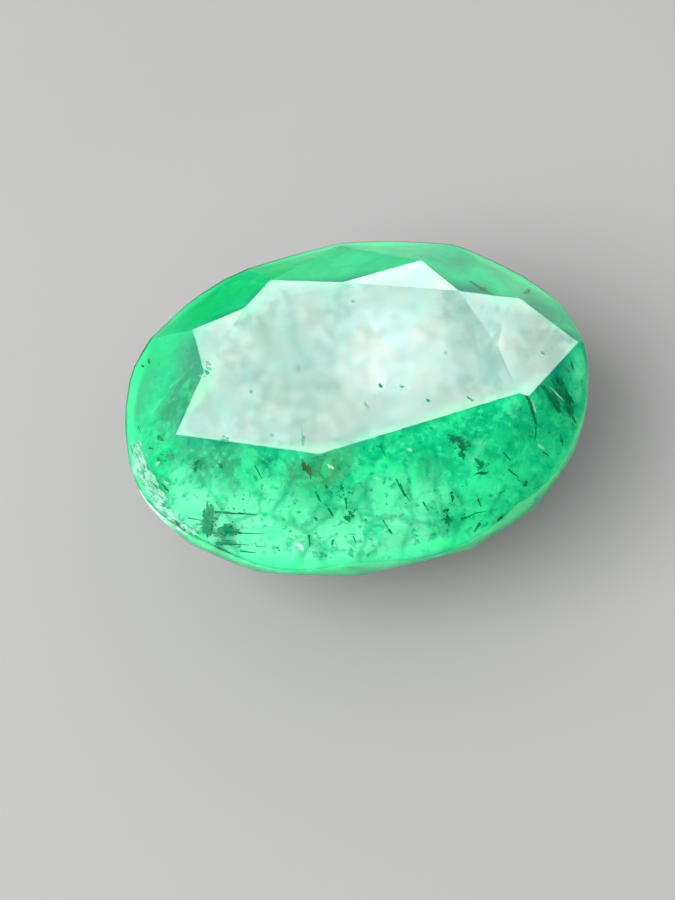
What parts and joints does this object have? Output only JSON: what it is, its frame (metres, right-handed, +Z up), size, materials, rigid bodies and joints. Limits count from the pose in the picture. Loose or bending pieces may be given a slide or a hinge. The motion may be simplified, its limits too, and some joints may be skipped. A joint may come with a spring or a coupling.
{
  "type": "faceted oval emerald",
  "caption": "Loose oval-cut emerald with a flat table, sloping crown facets, narrow girdle and stepped pavilion ending in a flat culet; cloudy and full of inclusions.",
  "frame": {"origin": "under the middle of the stone's footprint, on the flat culet that it rests on", "axes": "+X along the oval's long axis, +Z up from the culet to the table, -Y towards the side that faced the camera"},
  "size_m": [0.01, 0.0082, 0.005],
  "materials": {
    "emerald": "polished, cloudy green, partly see-through"
  },
  "bodies": {
    "root": {"emerald": "emerald"}
  },
  "joints": []
}
